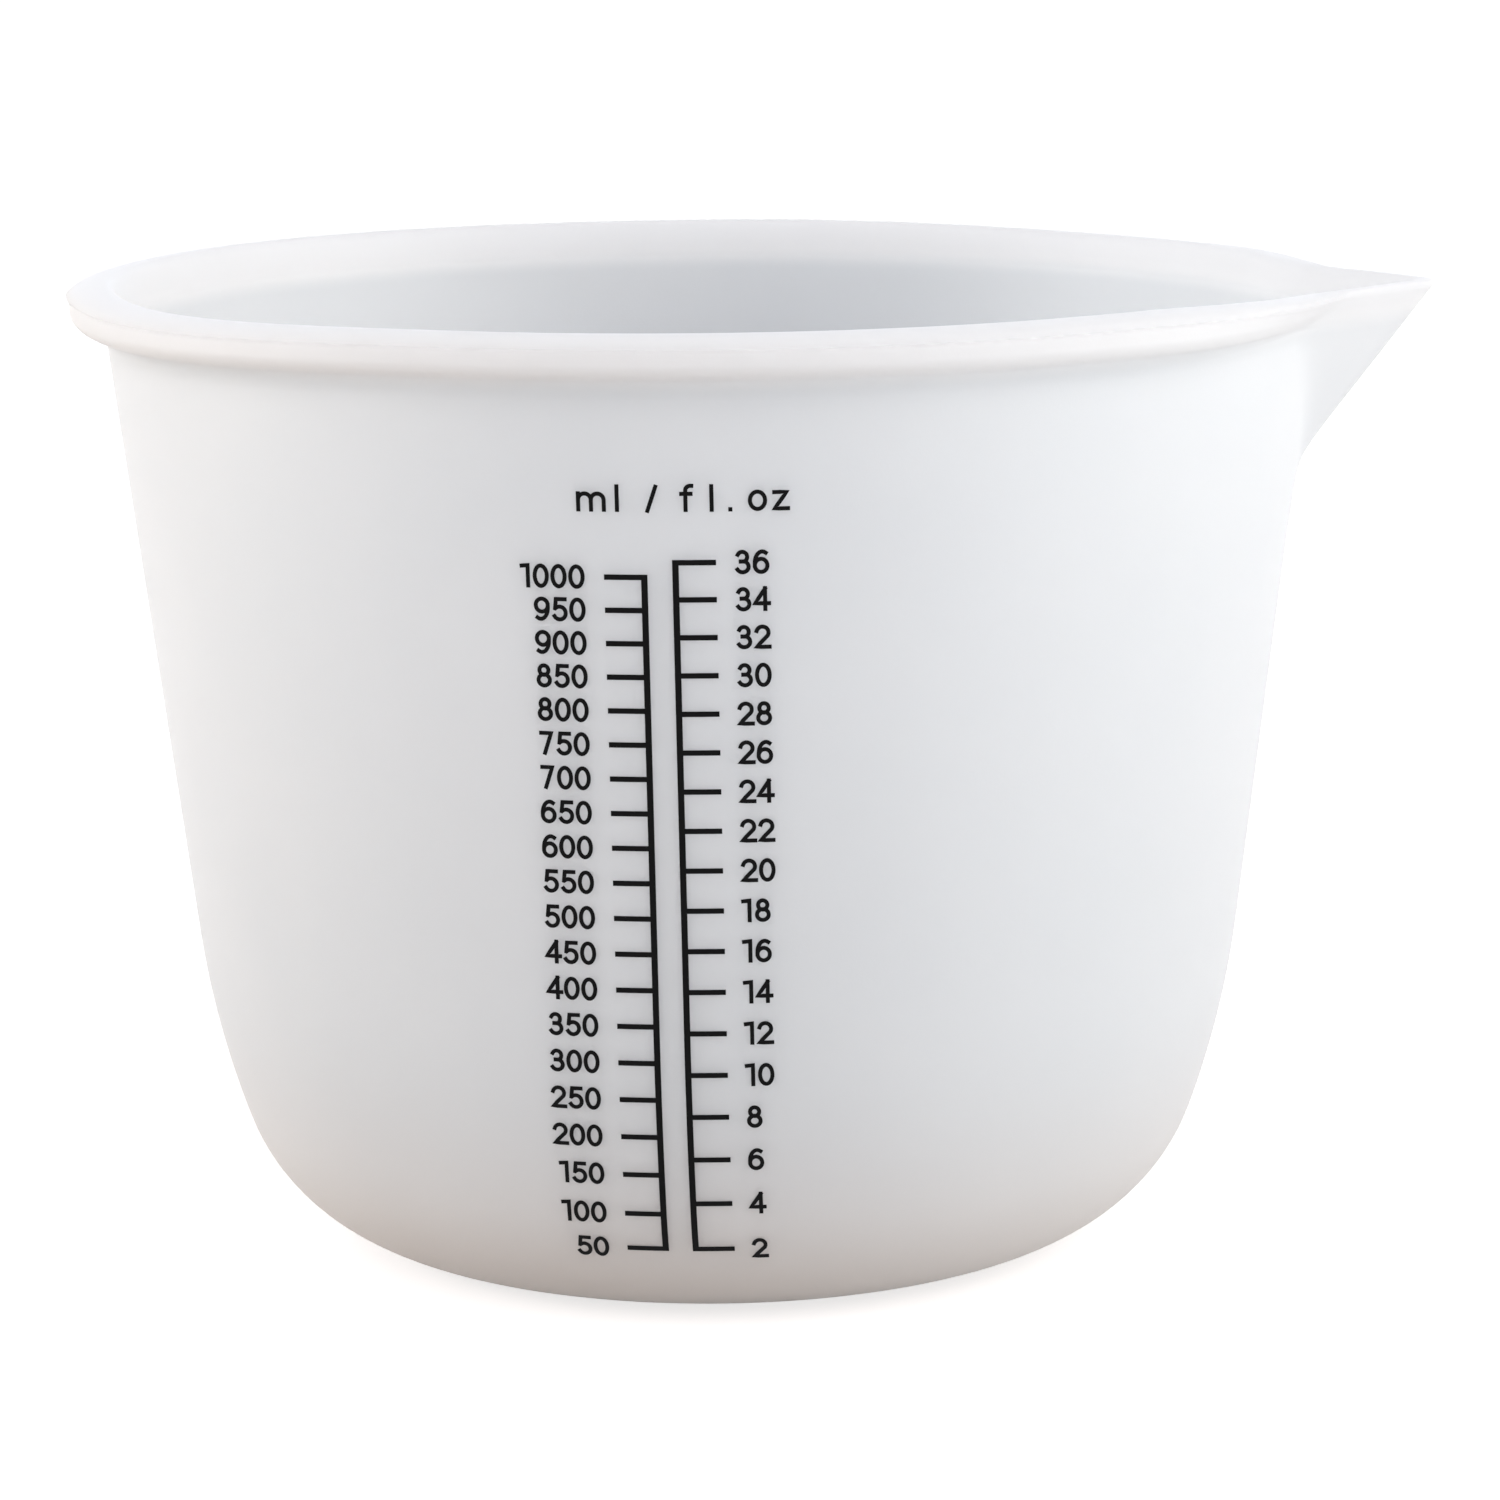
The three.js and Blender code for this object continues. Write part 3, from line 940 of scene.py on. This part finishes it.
# Silicone rubber from a blasted mould: the eye sees a soft white glow with no sharp reflection.
silicone = new_material("silicone_rubber_blast_moulded")
silicone_place = add_node(silicone, "ShaderNodeTexCoord").outputs["Object"]
clouds = add_node(
    silicone, "ShaderNodeTexNoise", Vector=silicone_place, Scale=1 / CLOUD_SIZE, Detail=2.0
)
cloud_mix = add_node(silicone, "ShaderNodeMix", {"data_type": "RGBA"})
silicone.node_tree.links.new(clouds.outputs["Fac"], cloud_mix.inputs[0])
cloud_mix.inputs[6].default_value = linear(SILICONE_MILKY)
cloud_mix.inputs[7].default_value = linear(SILICONE_CLOUDED)
silicone_height = add_node(silicone, "ShaderNodeSeparateXYZ", Vector=silicone_place).outputs["Z"]
# Painted glow: a mask by height that turns the rim whiter.
thick = add_node(
    silicone,
    "ShaderNodeMapRange",
    {"interpolation_type": "SMOOTHSTEP"},
    Value=silicone_height,
    From_Min=RIM_GLOW_FROM,
    From_Max=RIM_GLOW_TO,
)
# Painted shade: a mask by height that darkens and warms the foot.
foot = add_node(
    silicone,
    "ShaderNodeMapRange",
    {"interpolation_type": "SMOOTHSTEP"},
    Value=silicone_height,
    From_Min=FOOT_SHADE_FROM,
    From_Max=FOOT_SHADE_TO,
)
foot_shade_mix = add_node(silicone, "ShaderNodeMix", {"data_type": "RGBA"})
silicone.node_tree.links.new(foot.outputs["Result"], foot_shade_mix.inputs[0])
silicone.node_tree.links.new(cloud_mix.outputs[2], foot_shade_mix.inputs[6])
foot_shade_mix.inputs[7].default_value = linear(FOOT_PAINTED_SHADE)
rim_glow_mix = add_node(silicone, "ShaderNodeMix", {"data_type": "RGBA"})
silicone.node_tree.links.new(thick.outputs["Result"], rim_glow_mix.inputs[0])
silicone.node_tree.links.new(foot_shade_mix.outputs[2], rim_glow_mix.inputs[6])
rim_glow_mix.inputs[7].default_value = linear(RIM_PAINTED_GLOW)
print("the rim looks thick from", round(RIM_GLOW_FROM / MM, 1), "mm up")


# %% [markdown]
# The mould was finely blasted, which leaves a dull gloss and a fine grain on the cup. The real
# grain is too fine for the picture, so it is drawn coarser, 0.3 mm wide. Light goes some
# millimetres deep before it comes out again, red a little further than blue.

# %% Grain and glow of the silicone
BLASTED_GRAIN = 0.3 * MM
GRAIN_DEPTH = 0.03 * MM
GRAIN_STRENGTH = 0.25
SILICONE_ROUGHNESS = 0.46
SILICONE_IOR = 1.41
SCATTER_DEPTH = 9 * MM
SCATTER_TINT = (1.0, 0.98, 0.97)

grain = add_node(
    silicone, "ShaderNodeTexNoise", Vector=silicone_place, Scale=1 / BLASTED_GRAIN, Detail=2.0
)
grain_bump = add_node(
    silicone,
    "ShaderNodeBump",
    Height=grain.outputs["Fac"],
    Strength=GRAIN_STRENGTH,
    Distance=GRAIN_DEPTH,
)
silicone_shader = add_node(
    silicone,
    "ShaderNodeBsdfPrincipled",
    Base_Color=rim_glow_mix.outputs[2],
    Roughness=SILICONE_ROUGHNESS,
    IOR=SILICONE_IOR,
    Subsurface_Weight=1.0,
    Subsurface_Radius=SCATTER_TINT,
    Subsurface_Scale=SCATTER_DEPTH,
    Normal=grain_bump.outputs["Normal"],
)
finish_material(silicone, silicone_shader.outputs["BSDF"])
print("light scatters", round(SCATTER_DEPTH / MM, 1), "mm deep")


# %% [markdown]
# The print is a silicone ink, cured onto the wall: nearly black, matt, and a trace uneven, as a
# pad print is. The speckle is drawn coarser than the real one, 0.4 mm wide, so that it shows.

# %% Pad-printed black ink
INK_BLACK = "#060606"
INK_THIN = "#0e0e0f"
INK_GLOSS = 0.1
INK_ROUGHNESS = 0.6
INK_SPECKLE = 0.4 * MM

# Pad-printed ink: the eye sees an even, nearly black line that hardly shines.
ink = new_material("silicone_ink_pad_printed")
ink_place = add_node(ink, "ShaderNodeTexCoord").outputs["Object"]
speckle = add_node(ink, "ShaderNodeTexNoise", Vector=ink_place, Scale=1 / INK_SPECKLE, Detail=2.0)
ink_mix = add_node(ink, "ShaderNodeMix", {"data_type": "RGBA"})
ink.node_tree.links.new(speckle.outputs["Fac"], ink_mix.inputs[0])
ink_mix.inputs[6].default_value = linear(INK_BLACK)
ink_mix.inputs[7].default_value = linear(INK_THIN)
ink_shader = add_node(
    ink,
    "ShaderNodeBsdfPrincipled",
    Base_Color=ink_mix.outputs[2],
    Roughness=INK_ROUGHNESS,
    IOR=SILICONE_IOR,
    Specular_IOR_Level=INK_GLOSS,
)
finish_material(ink, ink_shader.outputs["BSDF"])

printed_pieces = (ml_marks, ounce_marks, ml_numbers, ounce_numbers, unit_line)
silicone_cup.data.materials.clear()
silicone_cup.data.materials.append(silicone)
for printed in printed_pieces:
    printed.data.materials.clear()
    printed.data.materials.append(ink)
print("materials:", silicone.name, ink.name)


# %% [markdown]
# Every piece rides on the one body. The cup and the two scales take the places of their solids in
# the frame; the numbers and the line of units are only in the look.

# %% Pieces and the frame
for piece in (silicone_cup, *printed_pieces):
    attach(piece, "root")
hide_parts("cup_body")
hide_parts("ml_scale")
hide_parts("oz_scale")
print("pieces:", silicone_cup.name, *[printed.name for printed in printed_pieces])


# %% [markdown]
# The cup stands on a plain pale floor of matt paper, a plane that reaches past the picture on
# every side.

# %% Floor
FLOOR_SPAN = 12

bpy.ops.object.select_all(action="DESELECT")
bpy.ops.mesh.primitive_plane_add(size=FLOOR_SPAN, location=(0, 0, 0))
floor = name_new("floor")
print("floor of", FLOOR_SPAN, "m")


# %% [markdown]
# The paper is warmer and darker at the left than at the right, because the light that it throws
# up on the heel of the cup is so in the picture. Its fibres are drawn as coarse as they need to
# show.

# %% Paper of the floor
FLOOR_WARM = "#a8988b"
FLOOR_PALE = "#d0d0d0"
FLOOR_FIBRE = "#f8f8f7"
FLOOR_TURN = 120 * MM
FIBRE_SIZE = 1.11 * MM

# Matt paper: the eye sees an even pale ground without any shine.
paper = new_material("paper_matt_rolled")
paper_place = add_node(paper, "ShaderNodeTexCoord").outputs["Object"]
fibres = add_node(
    paper, "ShaderNodeTexNoise", Vector=paper_place, Scale=1 / FIBRE_SIZE, Detail=2.0
)
paper_across = add_node(paper, "ShaderNodeSeparateXYZ", Vector=paper_place).outputs["X"]
paper_side = add_node(
    paper,
    "ShaderNodeMapRange",
    {"interpolation_type": "SMOOTHSTEP"},
    Value=paper_across,
    From_Min=-FLOOR_TURN,
    From_Max=FLOOR_TURN,
)
side_mix = add_node(paper, "ShaderNodeMix", {"data_type": "RGBA"})
paper.node_tree.links.new(paper_side.outputs["Result"], side_mix.inputs[0])
side_mix.inputs[6].default_value = linear(FLOOR_WARM)
side_mix.inputs[7].default_value = linear(FLOOR_PALE)
paper_mix = add_node(paper, "ShaderNodeMix", {"data_type": "RGBA", "blend_type": "MULTIPLY"})
paper.node_tree.links.new(fibres.outputs["Fac"], paper_mix.inputs[0])
paper.node_tree.links.new(side_mix.outputs[2], paper_mix.inputs[6])
paper_mix.inputs[7].default_value = linear(FLOOR_FIBRE)
print("paper fibres of", round(FIBRE_SIZE / MM, 2), "mm")


# %% [markdown]
# The camera sees the floor a little brighter than it is, so that it ends in white and still holds
# the soft shadow under the cup. The rays that only carry light see the plain paper.

# %% The floor that the camera sees
FLOOR_SEEN = "#cdc8c6"
FLOOR_GLOW = 0.7

paper_looked_at = looking_rays(paper)
seen_mix = add_node(paper, "ShaderNodeMix", {"data_type": "RGBA"})
paper.node_tree.links.new(paper_looked_at, seen_mix.inputs[0])
paper.node_tree.links.new(paper_mix.outputs[2], seen_mix.inputs[6])
seen_mix.inputs[7].default_value = linear(FLOOR_SEEN)
paper_diffuse = add_node(paper, "ShaderNodeBsdfDiffuse", Color=seen_mix.outputs[2])
glow = add_node(paper, "ShaderNodeMath", {"operation": "MULTIPLY"})
paper.node_tree.links.new(paper_looked_at, glow.inputs[0])
glow.inputs[1].default_value = FLOOR_GLOW
paper_glow = add_node(paper, "ShaderNodeEmission", Strength=glow.outputs[0])
paper_sum = add_node(paper, "ShaderNodeAddShader")
paper.node_tree.links.new(paper_diffuse.outputs[0], paper_sum.inputs[0])
paper.node_tree.links.new(paper_glow.outputs[0], paper_sum.inputs[1])
finish_material(paper, paper_sum.outputs[0])
floor.data.materials.clear()
floor.data.materials.append(paper)
print("the floor glows", FLOOR_GLOW, "to the camera")


# %% [markdown]
# The picture looks lit by large soft lamps at the left and at the right: the sides of the cup are
# its brightest parts, and the middle of its front and the inside are darker. Weaker lamps in
# front, at the front right and behind fill the shadows. Each lamp is given by its azimuth and
# elevation in degrees, its distance, width and height in metres, its power in watts and a colour.

# %% Lamps
AIM_HEIGHT = 0.06


def soft_lamp(name, azimuth, elevation, distance, width, height, power, colour="#ffffff"):
    turn, rise = math.radians(azimuth), math.radians(elevation)
    reach = distance * math.cos(rise)
    lift = AIM_HEIGHT + distance * math.sin(rise)
    place = (reach * math.cos(turn), reach * math.sin(turn), lift)
    bpy.ops.object.light_add(type="AREA", location=place)
    lamp = bpy.context.object
    lamp.name = name
    lamp.data.shape = "RECTANGLE"
    lamp.data.size = width
    lamp.data.size_y = height
    lamp.data.energy = power
    lamp.data.color = linear(colour)[:3]
    direction = mathutils.Vector((0, 0, AIM_HEIGHT)) - lamp.location
    lamp.rotation_euler = direction.to_track_quat("-Z", "Y").to_euler()


soft_lamp("left_lamp", 187, 8, 1.2, 0.8, 0.8, 9.8, "#fffdf8")
soft_lamp("right_lamp", -5, 18, 1.2, 0.8, 0.8, 6.3, "#fffdf6")
soft_lamp("front_lamp", -85, 3, 1.2, 0.8, 0.3, 2.7)
soft_lamp("right_front_lamp", -35, 4, 1.2, 0.6, 0.3, 1.2, "#f6f8ff")
soft_lamp("back_lamp", 95, 12, 1.2, 0.8, 0.5, 0.9, "#d0e4ff")
print("five lamps")


# %% [markdown]
# The room round the cup is white, and brightest in a band half way up, like pale walls above a
# table: the band lights the top of the rim and leaves the inside darker. It is brighter at the
# two sides than in front and behind. Its angles are elevations over the table, and a reach says
# how far a direction turns to the side, from 0 straight ahead to 1.

# %% Light of the surroundings
SURROUND = 1.24
SURROUND_COLOUR = "#f7f7fd"
HORIZON_SHARE = 0.13
ZENITH_SHARE = 0.21
DIM_BELOW = math.radians(17)
BRIGHT_FROM = math.radians(27)
BRIGHT_TO = math.radians(45)
DIM_ABOVE = math.radians(55)
FRONT_SHARE = 0.8
SIDE_SHARE = 1.2
FRONT_REACH = 0.15
SIDE_REACH = 0.7

world = bpy.data.worlds.new("studio")
bpy.context.scene.world = world
world.use_nodes = True
world.node_tree.nodes.clear()
sky_place = add_node(world, "ShaderNodeTexCoord").outputs["Generated"]
sky_parts = add_node(world, "ShaderNodeSeparateXYZ", Vector=sky_place)
sky_height = sky_parts.outputs["Z"]
rise_in = add_node(
    world,
    "ShaderNodeMapRange",
    {"interpolation_type": "SMOOTHSTEP"},
    Value=sky_height,
    From_Min=math.sin(DIM_BELOW),
    From_Max=math.sin(BRIGHT_FROM),
    To_Min=SURROUND * HORIZON_SHARE,
    To_Max=SURROUND,
)
fall_off = add_node(
    world,
    "ShaderNodeMapRange",
    {"interpolation_type": "SMOOTHSTEP"},
    Value=sky_height,
    From_Min=math.sin(BRIGHT_TO),
    From_Max=math.sin(DIM_ABOVE),
    To_Min=SURROUND,
    To_Max=SURROUND * ZENITH_SHARE,
)
sky_strength = add_node(world, "ShaderNodeMath", {"operation": "MINIMUM"})
world.node_tree.links.new(rise_in.outputs["Result"], sky_strength.inputs[0])
world.node_tree.links.new(fall_off.outputs["Result"], sky_strength.inputs[1])
to_the_side = add_node(world, "ShaderNodeMath", {"operation": "ABSOLUTE"})
world.node_tree.links.new(sky_parts.outputs["X"], to_the_side.inputs[0])
side_share = add_node(
    world,
    "ShaderNodeMapRange",
    {"interpolation_type": "SMOOTHSTEP"},
    Value=to_the_side.outputs[0],
    From_Min=FRONT_REACH,
    From_Max=SIDE_REACH,
    To_Min=FRONT_SHARE,
    To_Max=SIDE_SHARE,
)
sky_total = add_node(world, "ShaderNodeMath", {"operation": "MULTIPLY"})
world.node_tree.links.new(sky_strength.outputs[0], sky_total.inputs[0])
world.node_tree.links.new(side_share.outputs["Result"], sky_total.inputs[1])
lighting = add_node(
    world, "ShaderNodeBackground", Color=linear(SURROUND_COLOUR), Strength=sky_total.outputs[0]
)
print("surroundings of strength", SURROUND)


# %% [markdown]
# The camera and the reflections see plain white instead, as the picture's background is. Only
# the rays that carry light see the band.

# %% White background
backdrop = add_node(world, "ShaderNodeBackground", Color=(1, 1, 1, 1), Strength=1.0)
surround = add_node(world, "ShaderNodeMixShader")
world.node_tree.links.new(looking_rays(world), surround.inputs[0])
world.node_tree.links.new(lighting.outputs[0], surround.inputs[1])
world.node_tree.links.new(backdrop.outputs[0], surround.inputs[2])
world_output = add_node(world, "ShaderNodeOutputWorld")
world.node_tree.links.new(surround.outputs[0], world_output.inputs["Surface"])
bpy.context.scene.view_settings.view_transform = "Standard"
print("colours are shown by", bpy.context.scene.view_settings.view_transform)


# %% [markdown]
# The camera stands in front, a little above the rim, 0.65 m from the axis. Its angles were worked
# out from the ellipse of the rim, the slope of the sides and the spacing of the printed marks.

# %% Camera
CAMERA_DISTANCE = 0.65
CAMERA_HEIGHT = 0.179175
CAMERA_AZIMUTH = math.radians(-85.3097)
CAMERA_PITCH = math.radians(10.524)
CAMERA_ROLL = math.radians(0.71566)
IMAGE_WIDTH = 1500
FOCAL_PIXELS = 5441.045
AXIS_LEFT_PIXELS = 33.792
SENSOR = 36
CLOSEST_SEEN = 10 * MM

bpy.ops.object.camera_add(location=(0, 0, 0))
camera = bpy.context.object
camera.name = "camera"
camera.data.sensor_width = SENSOR
camera.data.lens = FOCAL_PIXELS / IMAGE_WIDTH * SENSOR
camera.data.clip_start = CLOSEST_SEEN
towards = mathutils.Vector((-math.cos(CAMERA_AZIMUTH), -math.sin(CAMERA_AZIMUTH), 0))
upright = mathutils.Vector((0, 0, 1))
sideways = towards.cross(upright)
ahead = towards * math.cos(CAMERA_PITCH) - upright * math.sin(CAMERA_PITCH)
above = towards * math.sin(CAMERA_PITCH) + upright * math.cos(CAMERA_PITCH)
yaw = math.atan(AXIS_LEFT_PIXELS / FOCAL_PIXELS)
looking = ahead * math.cos(yaw) + sideways * math.sin(yaw)
beside = sideways * math.cos(yaw) - ahead * math.sin(yaw)
right = beside * math.cos(CAMERA_ROLL) - above * math.sin(CAMERA_ROLL)
up = beside * math.sin(CAMERA_ROLL) + above * math.cos(CAMERA_ROLL)
turned = mathutils.Matrix((right, up, -looking)).transposed().to_4x4()
stand = -towards * CAMERA_DISTANCE + upright * CAMERA_HEIGHT
camera.matrix_world = mathutils.Matrix.Translation(stand) @ turned
bpy.context.scene.camera = camera
print("camera lens", round(camera.data.lens, 1), "mm")
